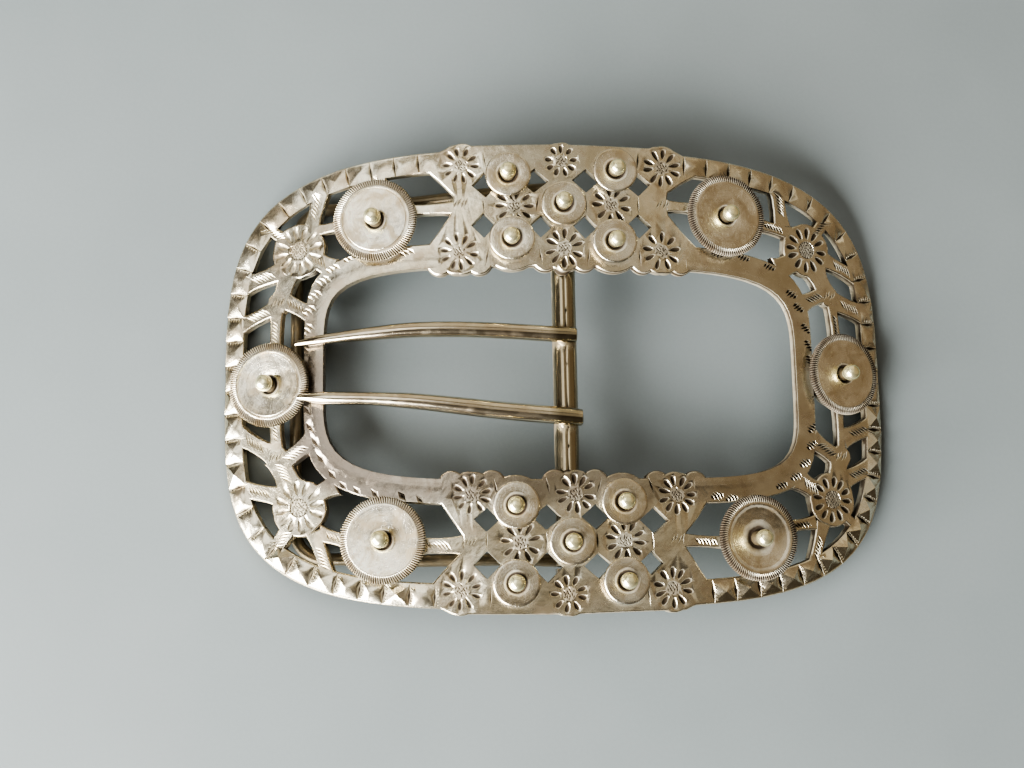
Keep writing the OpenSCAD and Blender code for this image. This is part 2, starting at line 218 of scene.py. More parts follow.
cornerLinks = [      # s and y of one end, s and y of the other, width
    (-33.6, 19, -31.6, 26.1, 2.1), (-36, 18, -40.4, 21.2, 1.6), (-37, 14.6, -43, 12.9, 2.3),
    (-37.8, 9.8, -43.2, 7.6, 1.9), (-36.4, 14, -37.6, 10, 2.6), (-38, 9.5, -38.2, 3, 1.6),
    (-37.5, 10.8, -33, 8.4, 2.1), (-34, 16.5, -30.3, 14.3, 2.4), (-33, 19.6, -28.5, 20.2, 1.4),
    (-38.2, -9.6, -43.3, -6.8, 2.3), (-38.2, -3, -37.7, -9.7, 1.7), (-37.2, -11, -33, -8, 2.3),
    (-37.6, -10, -35.8, -14, 3.2), (-37, -15, -43, -13.8, 2.2), (-35.6, -18.5, -38.6, -22.9, 2.2),
    (-32.6, -19.5, -30.2, -26.4, 1.8), (-32, -19.8, -27.5, -21.1, 1.8), (-33.5, -15.5, -29.8, -13.6, 2.4),
    (30.5, 20.5, 29.8, 26.8, 2.2), (34.5, 18.5, 38.4, 23.2, 1.9), (37, 16.6, 42.6, 14.6, 2),
    (37.8, 11, 43.8, 9.4, 2.6), (37.9, 11, 38.5, 4, 1.5), (37, 12, 33, 10.2, 2.2),
    (35.5, 15, 37.2, 11.5, 3), (33, 16.5, 29.4, 14.5, 3), (32, 19.8, 26, 20.9, 1.6),
    (38.2, -3, 38.2, -9.8, 1.2), (38.4, -7.8, 44, -5.7, 2.4), (33.4, -8, 38, -10.8, 2.4),
    (38.2, -13.4, 43.4, -11.3, 2.3), (37.8, -10, 37, -14, 3), (37.5, -17.5, 40.6, -20, 1.4),
    (33.5, -19, 28.5, -19.7, 1.6), (34.6, -19, 32.4, -25.8, 1.8), (35, -15.5, 30.8, -13.2, 2.6),
    (-24.4, 22, -24.4, 27.4, 2.4), (22.4, 23, 22.8, 27.8, 2.4), (-23.4, -23, -23.4, -27.8, 2.6),
    (24.1, -23, 24.1, -27.8, 2.6), (-14.2, 21.8, -21, 21.6, 1.4), (13.6, 22.4, 18.5, 22.3, 1.4),
    (-13.4, -21.6, -20, -21.6, 2), (14.2, -21.3, 20.5, -21.6, 1.5),
]
lattices = [      # outlines of the sawn lattices above and below the window, notched at their ends
    [(-18.2, 27.2), (-16.1, 25.2), (-14.4, 23.4), (-14.5, 22), (-15, 20.5), (-16.6, 18.3), (-18.1, 16.4),
     (18, 16.6), (15.6, 19), (13.9, 21.1), (13.7, 22.6), (13.9, 24.1), (15.9, 25.5), (17.9, 26.6),
     (16.6, 29.2), (14.8, 30.1), (8, 30.2), (0, 30.3), (-8, 30.2), (-14.6, 30.1), (-16.4, 29.3)],
    [(-16.9, -15.5), (-15.2, -18.1), (-13.6, -20.4), (-13.5, -21.6), (-14.1, -22.8), (-16.2, -24.9),
     (-18.2, -27.2), (-16.8, -29.2), (-15, -30.1), (-8, -30.2), (0, -30.3), (8, -30.1), (14.4, -30),
     (16.2, -29.2), (17.8, -27), (16.1, -24.4), (14.6, -22), (14.4, -21.2), (14.7, -20.5), (16.4, -18.5),
     (17.9, -16.3)],
]
bulges = [4.1, 4.0, 3.85, 3.75]      # radii, under the fourth to seventh small discs
lobes = {      # beside the sixth to eleventh flowers: how far to the side and inwards, and the radius
    "side": 2.55, "inwards": 1.35, "radius": 1.75,
    "tabs": [(-0.35, 14.0), (-0.25, -13.5)], "tabRadius": 1.15,
}
diamonds = [      # s, y, half width and half height of an opening sawn through a lattice
    (-10.3, 24.8, 1.7, 1.7), (-3.9, 25.3, 1.9, 1.6), (2.9, 25.4, 1.8, 1.6), (9.8, 25.1, 1.8, 1.6),
    (-10.5, 19.4, 1.6, 1.7), (-3.1, 19.2, 1.5, 1.5), (2.7, 19.2, 1.6, 1.6), (9.8, 19.4, 1.7, 1.6),
    (-10.6, -18.5, 1.6, 1.5), (-3.1, -18.3, 1.9, 1.6), (3.1, -18.3, 1.8, 1.6), (10.6, -18.8, 1.9, 1.7),
    (-10.6, -24.1, 1.7, 1.7), (-3.1, -24.5, 1.9, 1.9), (3.3, -24.4, 1.8, 1.6), (10.1, -24.1, 1.5, 1.5),
]
creases = [      # s and y of a short cut between two cells of a lattice, and its turn from upright
    (-10.5, 22.1, 0.05), (-3.5, 22.2, -0.2), (2.8, 22.3, 0.05), (9.8, 22.2, 0.0),
    (-10.6, -21.2, 0.0), (-3.2, -21.3, 0.0), (3.2, -21.3, 0.05), (10.3, -21.5, 0.05),
    (-10.3, 28.2, 0.15), (9.9, 28.3, -0.1), (-10.2, -28.2, -0.1), (9.6, -28.2, 0.1),
    (-10.1, 15.2, -0.2), (9.8, 15.3, 0.1), (-9.4, -14.6, 0.2), (3.6, -14.5, -0.3), (10.3, -14.4, 0.3),
    (3.0, 15.1, -0.15), (-3.2, 15.2, 0.15), (-2.9, -14.4, 0.2), (34.8, -3.2, -2.03), (34.4, -2.2, -1.2),
]
largePlaces = [(-24.4, 20.2), (21.5, 21.1), (-38.4, -0.7), (38.2, 0.7), (-23.4, -20.9), (24.1, -21.1)]
smallPlaces = [
    (-7.3, 25.9), (6.6, 26.6), (-0.2, 22), (-6.9, 17.4), (6.3, 17.1),
    (-6.9, -16.8), (6.6, -16.5), (0, -21.4), (-7, -26.4), (6.6, -26.3),
]


def linkOutline(row, flare):      # waisted, and flared where it runs into its neighbours
    start, end = Vector(row[:2]), Vector(row[2:4])
    run = (end - start).normalized()
    side = Vector((-run.y, run.x)) * row[4] / 2
    outline = []
    for way, order in ((1, range(9)), (-1, range(8, -1, -1))):
        for i in order:
            waist = 0.94 + flare * abs(i / 4 - 1) ** 2.4 + dice.uniform(-0.02, 0.02)
            outline.append(start.lerp(end, i / 8) + side * way * waist)
    return outline[::-1]


def padOutline(s, y, reach, waves, depth, phase):
    outline = []
    for i in range(72):
        turn = 2 * math.pi * i / 72
        r = reach * (1 - depth + depth * abs(math.cos((turn - phase) * waves / 2)) ** 0.6)
        outline.append((s + r * math.cos(turn), y + r * math.sin(turn)))
    return outline


def disc(s, y, reach, count=40):
    turns = [2 * math.pi * i / count for i in range(count)]
    return [(s + reach * math.cos(turn), y + reach * math.sin(turn)) for turn in turns]


def borderWalk():      # where a pyramid stands, and where the chisel cut between two lies
    reachS = bend["halfArc"] - plate["borderSide"] / 2
    reachY = plate["outerHalfHeight"] - plate["borderTop"] / 2 + 0.1
    line = [Vector(p) for p in oval(reachS, reachY, plate["outerFullness"], 0, 1440)]
    line.append(line[0])
    tops, cuts, walked, half = [], [], 0.0, False
    for here, ahead in zip(line, line[1:]):
        walked += (ahead - here).length
        if walked >= pyramids["pitch"] / 2 and not half:
            half = True
            if abs(ahead.x) > pyramids["plainHalf"] - 0.6:
                cuts.append((ahead, (ahead - here).normalized()))
        if walked >= pyramids["pitch"]:
            walked -= pyramids["pitch"]
            half = False
            if abs(ahead.x) > pyramids["plainHalf"]:
                tops.append((ahead, (ahead - here).normalized()))
    return tops, cuts


def wornRise(place):      # the upper pyramids are worn lower, and the middle ones a little
    if place.y < -2:
        return 0.85 if place.x < 0 else 1.0
    if place.y < 8:
        return 0.62
    return 0.45 if place.x < 0 else 0.58


def diamondCutter():      # a sawn opening of one unit each way, its top edge filed off
    clearSelection()
    bpy.ops.mesh.primitive_circle_add(vertices=4, radius=1, fill_type="NGON")
    cutter = bpy.context.object
    cutter.data.transform(Matrix.Translation((0, 0, plate["back"] - 0.1)))
    editAll(cutter)
    bpy.ops.mesh.extrude_region_move(TRANSFORM_OT_translate={"value": (0, 0, -plate["back"])})
    bpy.ops.mesh.extrude_region_move(TRANSFORM_OT_translate={"value": (0, 0, 0.2)})
    bpy.ops.transform.resize(value=(1.08, 1.08, 1))
    faceOutwards()
    leaveEdit()
    return cutter


def buildPlate():      # band and solid parts joined, then pierced, then chased
    back, rounded = plate["back"], filed(plate["edge"])
    halfArc, halfHeight = bend["halfArc"], plate["outerHalfHeight"]
    window, lift = plate["windowHalf"], plate["windowLift"]
    fullness = plate["windowFullness"]
    blank = band(
        "plate", oval(halfArc, halfHeight, plate["outerFullness"], 0, 200),
        oval(halfArc - plate["borderSide"], halfHeight - plate["borderTop"], plate["borderFullness"],
             plate["borderLift"], 200),
        back, 0, rounded)
    pieces = [band(
        "rim", oval(window[0] + plate["rimSide"], window[1] + plate["rimTop"], fullness, lift, 160),
        oval(window[0], window[1], fullness, lift, 160),
        back, 0, rounded)]
    moulding = band(      # round the window, worn nearly half round, and left off beside the lattices
        "moulding", oval(window[0] + plate["mouldSide"], window[1] + plate["mouldTop"], fullness, lift, 160),
        oval(window[0] + 0.03, window[1] + 0.03, fullness, lift, 160),
        -0.5, plate["mouldRise"], [(0.25, 0.04), (0.4, 0.02), (0.3, 0.01)])
    clearSelection()
    bpy.ops.mesh.primitive_cylinder_add(vertices=6, radius=plate["mouldGap"], depth=80,
                                        rotation=(math.pi / 2, 0, 0))
    gap = bpy.context.object
    bpy.ops.object.transform_apply()
    gap.data.transform(Matrix.Diagonal((1, 1, 0.1, 1)))
    combine(moulding, [gap], "DIFFERENCE")
    pieces.append(moulding)
    flat = []      # the outline and the edge of each part that is joined on
    for s, y, reach in flowerPads:
        waves = 6 if reach > 3.5 else 7
        flat.append((padOutline(s, y, reach, waves, 0.05, dice.uniform(0, 6)), plate["padEdge"]))
    for s, y, reach in jointPads:
        flat.append((padOutline(s, y, reach, 4, 0.06, dice.uniform(0, 6)), plate["padEdge"]))
    flat += [(disc(s, y, plate["largeSeat"]), plate["seatEdge"]) for s, y in largePlaces]
    flat += [(linkOutline(row, 0.35), plate["linkEdge"]) for row in cornerLinks]
    flat += [(outline, plate["linkEdge"]) for outline in lattices]
    for (s, y), reach in zip(smallPlaces[3:7], bulges):
        flat.append((disc(s, y, reach, 64), plate["linkEdge"]))
    for s, y, reach in flowerPads[5:11]:
        for side in (-lobes["side"], lobes["side"]):
            inner = y - math.copysign(lobes["inwards"], y)
            flat.append((disc(s + side, inner, lobes["radius"]), plate["lobeEdge"]))
    pieces += [slab("joined", outline, back, 0, edge) for outline, edge in flat]
    for s, y in lobes["tabs"]:
        pieces.append(slab("tab", disc(s, y, lobes["tabRadius"]), back, 0.12, 0.5))
    tops, cuts = borderWalk()
    clearSelection()
    bpy.ops.mesh.primitive_cone_add(vertices=4, radius1=math.sqrt(2), radius2=0, depth=1,
                                    location=(0, 0, 0.5), rotation=(0, 0, math.pi / 4))
    pyramid = bpy.context.object
    bpy.ops.object.transform_apply()
    for place, along in tops:
        stand = at(place.x, place.y, math.atan2(along.y, along.x), -0.03)
        wide = Matrix.Diagonal((pyramids["half"][0] * dice.uniform(0.96, 1.02), pyramids["half"][1],
                                pyramids["rise"] * wornRise(place) * dice.uniform(0.9, 1.04), 1))
        pieces.append(copyAt(pyramid, stand @ Matrix.Rotation(dice.uniform(-0.05, 0.05), 4, "Z") @ wide))
    dropPiece(pyramid)
    combine(blank, pieces, "UNION")
    saw = diamondCutter()
    holes = []
    for s, y, halfWidth, halfTall in diamonds:
        place = at(s, y, dice.uniform(-0.06, 0.06))
        holes.append(copyAt(saw, place @ Matrix.Diagonal((halfWidth, halfTall, 1, 1))))
    combine(blank, holes, "DIFFERENCE")
    dropPiece(saw)
    seats = [slab("seat", disc(s, y, plate["smallSeat"]), back, 0, plate["seatEdge"])
             for s, y in smallPlaces]
    combine(blank, seats, "UNION")
    print("plate joined:", len(blank.data.polygons), "faces")
    carvePlate(blank, cuts)
    return blank


# The chased work: petals, chisel strokes and rivet holes.
chasing = {
    "petals": [10, 9, 10, 10, 9, 10, 10, 9, 10, 10, 11, 9, 10, 10, 9, 10, 12, 12, 12, 12],
    "petalDepth": 0.27, "petalShare": 0.588, "punchStep": 0.4,
    "punch": (0.62, 0.3, 0.11),      # half length, half width and depth of a stroke
    "ring": (0.6, 0.22, 0.16), "tooth": (0.42, 0.24, 0.1), "crease": (2.7, 0.34, 0.16),
    "knot": (1.3, 0.36, 0.14), "border": (3.4, 0.6, 0.26), "wornBorder": (3.4, 0.55, 0.26),
    "rimHalves": (0.9, 1.35, 1.4, 1.0), "rimWidth": 0.46, "rimDepth": 0.3, "rimSlant": 1.17,
    "upperLeft": (2.5, 1.25, 0.56, 0.18),      # direction, and then the same
    "lowerLeft": (2.27, 1.7, 0.84, 0.25),
    "knots": [(-13.4, 22.3), (13.2, 22.4), (-12.8, -21.4), (13.6, -21.2)],
}
flowerKinds = {      # half width of a petal, its start, its end short of the pad's, the punched middle
    "corner": (0.42, 1.25, 0.36, 1.12),
    "lattice": (0.38, 0.84, 0.3, 0.8),
}
rimMarks = [      # s and y of each group of strokes on the rim
    (-30.3, 14.3), (-31.6, 12.8), (-32.8, 10.9), (-33.5, 8.9), (-33.7, 6.4), (-34, 3.8), (-33.6, -4),
    (-33.2, -6.2), (-32.5, -8.1), (-31.7, -10.3), (-30.2, -12.4), (-28.7, -13.9), (-26.9, -14.6),
    (-24.6, -15), (-21.2, -15.4), (-18.9, -15.9),
    (31.4, 11.4), (32.4, 9.6), (33.4, 6.8), (33.7, 4.5), (33.7, 2.4), (33.6, -6.6), (33.3, -8.9),
    (32.1, -11.3), (30.6, -13.1), (28.4, -14.3), (21.1, -16), (19.1, -15.7),
    (-28, 15.6), (-20.5, 16), (20.6, 16.2), (24.4, 15.9), (28.2, 14.9),
]


def petalCutter():      # a gouge cut like a spoon, broader outwards, 0.59 of its size at the surface
    clearSelection()
    bpy.ops.mesh.primitive_cone_add(vertices=14, radius1=1, radius2=0, depth=2,
                                    rotation=(math.pi, 0, 0))
    cutter = bpy.context.object
    cutter.name = "petalCutter"
    bpy.ops.object.transform_apply()
    editAll(cutter)
    bpy.ops.mesh.bisect(plane_co=(0, 0, -0.7), plane_no=(0, 0, 1))
    leaveEdit()
    for corner in cutter.data.vertices:
        if abs(corner.co.z + 0.7) < 0.01:
            corner.co.xy *= 2
        reach = math.hypot(corner.co.x, corner.co.y)
        if reach < 0.01:
            corner.co.x = -0.06
        else:
            corner.co.y *= 1 + 0.28 * corner.co.x / reach
    tidyMesh(cutter)
    return cutter


def strokeCutter():      # a chisel stroke, pointed at both ends
    clearSelection()
    bpy.ops.mesh.primitive_cone_add(vertices=4, radius1=1, radius2=0, depth=1)
    cutter = bpy.context.object
    cutter.name = "strokeCutter"
    for corner in cutter.data.vertices:
        corner.co.z = 1 if corner.co.z < 0 else -1
    tidyMesh(cutter)
    return cutter


def carvePlate(blank, cuts):
    petal, stroke = petalCutter(), strokeCutter()
    petals, strokes, fine = [], [], []
    share = chasing["petalShare"]

    def strike(cutter, matrix, length, width, depth, into):
        into.append(copyAt(cutter, matrix @ Matrix.Diagonal((length, width, depth, 1))))

    for (s, y, reach), count in zip(flowerPads, chasing["petals"]):
        corner = reach > 3.5
        half, start, short, middle = flowerKinds["corner" if corner else "lattice"]
        end = reach - short
        spin = dice.uniform(0, 6)
        for i in range(count):
            turn = spin + 2 * math.pi * (i + dice.uniform(-0.12, 0.12)) / count
            long = (end - start) * dice.uniform(0.88, 1.0) / 2
            place = at(s, y, turn) @ at(end - long, 0)
            wide = half * dice.uniform(0.86, 1.06)
            strike(petal, place, long / share, wide / share, chasing["petalDepth"], petals)
        step = chasing["punchStep"]      # the punched middle: short strokes, nearly touching
        for i in range(-3, 4):
            for j in range(-3, 4):
                x = (i + 0.5 * (j % 2)) * step
                z = j * step * 0.8
                if math.hypot(x, z) < middle - 0.05:
                    x += dice.uniform(-0.09, 0.09)
                    z += dice.uniform(-0.09, 0.09)
                    place = at(s + x, y + z, math.pi / 2 + dice.uniform(-1.2, 1.2))
                    strike(stroke, place, *chasing["punch"], fine)
        if corner:
            for i, (ringS, ringY) in enumerate(disc(s, y, middle, 18)):
                place = at(ringS, ringY, 2 * math.pi * i / 18 + math.pi / 2)
                strike(stroke, place, *chasing["ring"], strokes)
    for place, along in cuts:      # between two pyramids, with small teeth along one side
        stand = at(place.x, place.y, math.atan2(along.y, along.x))
        size = chasing["wornBorder" if place.y > 8 else "border"]
        strike(stroke, stand @ at(0, 0, math.pi / 2), *size, strokes)
        if place.y < 20:
            for i in range(6):
                strike(stroke, stand @ at(0.3, -1.0 + 0.38 * i, 0, 0.02), *chasing["tooth"], fine)
    for s, y in rimMarks:      # a lens of three or four strokes
        out = Vector((s / 33.5, y / 16)).normalized()
        turn = math.atan2(out.y / 16, out.x / 33.5) + math.pi / 2
        stand = at(s, y, turn)
        if s < 0:      # at the left they are broad and shallow, and all lie the same way
            way, length, width, depth = chasing["upperLeft" if y > 0 else "lowerLeft"]
            for i in (-0.62, 0, 0.62) if y > 0 else (0,):
                strike(stroke, stand @ at(i, 0, way - turn), length, width, depth, strokes)
            continue
        for i, long in enumerate(chasing["rimHalves"]):
            place = stand @ at((i - 1.5) * 0.42, 0, math.copysign(chasing["rimSlant"], y))
            strike(stroke, place, long, chasing["rimWidth"], chasing["rimDepth"], strokes)
    for row in cornerLinks:      # a row of slanting strokes along each link
        start, end = Vector(row[:2]), Vector(row[2:4])
        run = end - start
        if run.length < 4.2 or row[4] < 1.5:
            continue
        turn = math.atan2(run.y, run.x)
        slant = 0.8 if math.cos(2 * (turn + 0.8 - 2.6)) > math.cos(2 * (turn - 0.8 - 2.6)) else -0.8
        count = 6 if run.length > 5 else 5
        for i in range(count):
            mid = start.lerp(end, 0.5) + run.normalized() * (i - (count - 1) / 2) * 0.46
            place = at(mid.x, mid.y, turn + slant + dice.uniform(-0.08, 0.08))
            strike(stroke, place, min(1.8, row[4] * 0.8), 0.42, 0.14 if start.x < 0 else 0.2, strokes)
    for s, y, turn in creases:
        strike(stroke, at(s, y, math.pi / 2 + turn), *chasing["crease"], strokes)
    for s, y in [pad[:2] for pad in jointPads] + chasing["knots"]:
        for i in range(4):
            place = at(s + 0.45 * (i - 1.5), y + 0.2 * (i % 2), 1.1 + dice.uniform(-0.1, 0.1))
            strike(stroke, place, *chasing["knot"], fine)
    for cutters in (petals, strokes, fine):
        combine(blank, cutters, "DIFFERENCE")
    dropPiece(petal)
    dropPiece(stroke)
    clearSelection()
    bpy.ops.mesh.primitive_cylinder_add(vertices=20, radius=plate["rivetHole"], depth=4)
    drill = bpy.context.object
    drills = [copyAt(drill, at(s, y)) for s, y in largePlaces + smallPlaces]
    dropPiece(drill)
    combine(blank, drills, "DIFFERENCE")
    print("plate chased:", len(blank.data.polygons), "faces")


grimeAndShade = {      # in the cuts and the flowers' middles, where tarnish gathers; less at the left end and more from the middle on, which is painted light and shade; the back is painted shade
    "start": (0.1, 0.05), "span": (0.24, 0.12), "middle": (0.45, 0.65), "back": 0.35, "most": 2.0,
}


def bendPlate(piece):
    count = math.floor(bend["halfArc"] / bend["slice"])
    sliceAcross(piece, [bend["slice"] * i for i in range(-count, count + 1)], (1, 0, 0))
    dirt = piece.data.attributes.new("dirt", "FLOAT", "POINT")
    for vertex in piece.data.vertices:
        depth = -vertex.co.z
        # Painted light and shade: the cuts are darkened less towards the lit left end and more towards the
        # right.
        shadeToRight = held((vertex.co.x + 30) / 25)
        start, span, middle = (left + (rest - left) * shadeToRight for left, rest in
                               (grimeAndShade["start"], grimeAndShade["span"], grimeAndShade["middle"]))
        gathered = (depth - start) / span
        spot = Vector(vertex.co.xy)
        if any((spot - Vector((s, y))).length < reach * 0.3 for s, y, reach in flowerPads):
            gathered = max(gathered, middle)
        # The back of the plate gets painted shade.
        dirt.data[vertex.index].value = grimeAndShade["back"] if depth > 1 else held(gathered, 0, grimeAndShade["most"])
    for vertex in piece.data.vertices:
        vertex.co = bent(*vertex.co)


def bent(s, y, h):
    turn = s / bend["radius"]
    reach = bend["radius"] + h
    return Vector((reach * math.sin(turn), y, bend["centre"] + reach * math.cos(turn)))


def onPlate(s, y):      # the matrix that stands a piece on the bent plate
    return Matrix.Translation(bent(s, y, 0)) @ Matrix.Rotation(s / bend["radius"], 4, "Y")


lugs = {"radius": 1.75, "thick": 1.5, "y": (27.1, -25.4)}


def axleDrill(place=axlePlace):      # cuts the bore for the axle
    clearSelection()
    bpy.ops.mesh.primitive_cylinder_add(vertices=40, radius=axleBore, depth=62,
                                        location=place, rotation=(math.pi / 2, 0, 0))
    bpy.ops.object.transform_apply()
    return bpy.context.object


def buildLugs():
    pieces = []
    for y in lugs["y"]:
        clearSelection()
        bpy.ops.mesh.primitive_cylinder_add(vertices=48, radius=lugs["radius"], depth=lugs["thick"],
                                            location=(0, y, axlePlace[2]), rotation=(math.pi / 2, 0, 0))
        bpy.ops.object.transform_apply()
        pieces.append(bpy.context.object)
        bpy.ops.mesh.primitive_cube_add(size=1, location=(0, y, axlePlace[2] + 1.05))
        block = bpy.context.object
        block.scale = (lugs["radius"] * 2, lugs["thick"], 2.1)
        bpy.ops.object.transform_apply()
        pieces.append(block)
    return pieces


def finishPiece(piece, name, angle=32):      # millimetres to metres, smooth faces
    piece.name = name
    piece.data.name = name
    piece.data.transform(Matrix.Scale(mm, 4))
    use(piece)
    bpy.ops.object.shade_smooth_by_angle(angle=math.radians(angle))
    bpy.ops.object.transform_apply(location=True, rotation=True, scale=True)
    return piece


plateMesh = buildPlate()
bendPlate(plateMesh)
combine(plateMesh, buildLugs(), "UNION")
combine(plateMesh, [axleDrill()], "DIFFERENCE")
plateMesh = finishPiece(plateMesh, "pierced_plate")
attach(plateMesh, "frame")
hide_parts("frame")
print("plate bent:", len(plateMesh.data.polygons), "faces")


def lathe(name, profile, steps):      # a closed profile of (radius, height), turned upright
    piece = polygonPiece(name, [(r, 0, h) for r, h in profile])
    editAll(piece)
    bpy.ops.mesh.delete(type="ONLY_FACE")
    bpy.ops.mesh.select_all(action="SELECT")
    bpy.ops.mesh.spin(steps=steps, angle=2 * math.pi, center=(0, 0, 0), axis=(0, 0, 1))
    leaveEdit()
    tidyMesh(piece, 0.002)
    return piece


def mark(piece, name, measure):      # a number on each point, for the finish to read
    layer = piece.data.attributes.new(name, "FLOAT", "POINT")
    for vertex in piece.data.vertices:
        layer.data[vertex.index].value = measure(vertex.co)


# The discs are turned from closed profiles, and a large one's rim is knurled.
largeDisc = {
    "teeth": 108, "toothDepth": 0.21, "from": 4.58, "slant": 0.04,
    "dishing": [0.2, 0.05, 0.25, 0.0, 0.2, 0.85], "grooved": [0, 2], "groove": (4.18, 0.09),
    "dish": 0.52, "dishFrom": 1.0, "dishTo": 4.5, "dull": [1, 3, 5], "dullFrom": 5.0, "dullness": 0.62,
    "darkest": 5, "grimeAndShade": (0.8, 1.1, 0.65),      # height, reach and fade
    "profile": [
        (0.6, 0.05), (1.2, 0.06), (1.8, 0.46), (3.4, 0.68), (4.9, 0.78), (5.34, 0.84), (5.46, 0.94),
        (5.49, 1.05), (5.49, 1.2), (5.47, 1.35), (5.41, 1.46), (5.29, 1.53), (5.08, 1.555), (4.6, 1.56),
        (4.5, 1.54), (4.3, 1.545), (4.22, 1.54), (4.14, 1.535), (4.04, 1.53), (3.6, 1.52), (3.1, 1.51),
        (2.6, 1.5), (2.2, 1.49), (1.9, 1.475), (1.6, 1.45), (1.42, 1.42), (1.27, 1.37), (1.14, 1.27),
        (1.03, 1.1), (0.99, 0.95), (0.97, 0.85), (0.6, 0.84)],
}
smallDisc = {
    "grimeAndShade": (0.6, 1.2, 0.85),
    "profile": [
        (0.6, 0.05), (0.9, 0.06), (1.5, 0.35), (2.2, 0.55), (2.7, 0.66), (2.87, 0.74), (2.94, 0.84),
        (2.94, 0.96), (2.92, 1.06), (2.86, 1.13), (2.75, 1.175), (2.55, 1.19), (2.1, 1.187), (1.8, 1.18),
        (1.5, 1.165), (1.28, 1.135), (1.14, 1.08), (1.03, 0.98), (0.99, 0.86), (0.97, 0.74), (0.6, 0.69)],
}


def turnedDisc(name, size, steps):
    piece = lathe(name, size["profile"], steps)
    mark(piece, "reach", lambda co: math.hypot(co.x, co.y))
    mark(piece, "dirt", lambda co: discDirtAndShade(math.hypot(co.x, co.y), co.z, *size["grimeAndShade"]))
    return piece


def discDirtAndShade(r, h, under, fromReach, fade):      # painted shade beneath the disc, and round the stud partly grime and partly painted shadow
    if h < under and r > fromReach:
        return 0.6
    return max(0.0, 1.05 - (r - 0.95) / fade)


def buildLargeDisc():
    steps = largeDisc["teeth"] * 2
    piece = turnedDisc("largeDisc", largeDisc, steps)
    for vertex in piece.data.vertices:      # every second step is cut down on the turned edge
        r = math.hypot(vertex.co.x, vertex.co.y)
        turn = math.atan2(vertex.co.y, vertex.co.x)
        if r < largeDisc["from"] or vertex.co.z < 0.9:
            continue
        if round(turn / (2 * math.pi) * steps) % 2:
            deep = largeDisc["toothDepth"] * min(1.0, 0.5 + (r - largeDisc["from"]))
            out = Vector((r - largeDisc["from"] + 0.1, vertex.co.z - 0.75)).normalized() * deep
            r -= out.x
            vertex.co.z -= out.y
            piece.data.attributes["dirt"].data[vertex.index].value = 0.85
        turn += (r - largeDisc["from"]) * largeDisc["slant"]
        vertex.co.xy = (r * math.cos(turn), r * math.sin(turn))
    return piece


def dishLargeDisc(piece, number):      # some are dished deeper, and two have a groove
    place, depth = largeDisc["groove"]
    for vertex in piece.data.vertices:
        r = math.hypot(vertex.co.x, vertex.co.y)
        dirt = piece.data.attributes["dirt"].data[vertex.index]
        if number in largeDisc["dull"] and r > largeDisc["dullFrom"]:
            dirt.value = max(dirt.value, largeDisc["dullness"])
        if vertex.co.z < 0.83 or r > largeDisc["dishTo"]:
            continue
        part = max(0.0, (r - largeDisc["dishFrom"]) / (largeDisc["dishTo"] - largeDisc["dishFrom"]))
        deep = largeDisc["dish"] * largeDisc["dishing"][number] * (1 - part ** 1.6)
        vertex.co.z = max(0.84, vertex.co.z - deep)
        if number in largeDisc["grooved"] and abs(r - place) < 0.07:
            vertex.co.z -= depth
        if number == largeDisc["darkest"]:
            dirt.value = max(dirt.value, 1.1 - (r - 0.9) / 1.7, 0.5 - abs(r - 4.0) * 1.2)


# The studs are rivets with round heads, closed down over the discs.
stud = {
    "large": {"bead": 1.08, "height": 2.6, "seat": 0.88, "collar": 0.95, "lip": 0.3},
    "small": {"bead": 1.06, "height": 2.15, "seat": 0.74, "collar": 0.93, "lip": 0.24},
}


def buildStud(size):
    bead, height, seat, collar = size["bead"], size["height"], size["seat"], size["collar"]
    lip = seat + size["lip"]
    profile = [(0, -1.1), (0.7, -1.1), (0.74, -1.07), (0.5, -0.86), (0.5, seat), (collar, seat),
               (collar * 0.95, lip), (0.72, lip + 0.1), (0.66, lip + 0.2)]
    start = -math.acos(min(1.0, 0.64 / bead))
    for i in range(17):
        turn = start + (math.pi / 2 - start) * i / 16
        across, up = max(0.0, math.cos(turn)), math.sin(turn)
        if turn > 0:      # worn a little flat on top
            across, up = across ** 0.8, up ** 0.8
        profile.append((bead * across, height + bead * up))
    piece = lathe("stud", profile, 40)
    # The stem is darkened up towards the head, and the shank in the hole more: painted shade under the head,
    # with some grime.
    shadeAndGrimeSpan = height - seat - 0.25
    mark(piece, "dirt", lambda co: max(0.0, 1.5 - 1.5 * (co.z - seat) / shadeAndGrimeSpan) if co.z > 0 else 0.4)
    return piece


def dent(piece, amount, grain, seed):      # hand-made unevenness
    for vertex in piece.data.vertices:
        shift = noise.noise_vector(vertex.co * grain + Vector((seed, seed * 0.7, seed * 1.3)))
        vertex.co += shift * amount


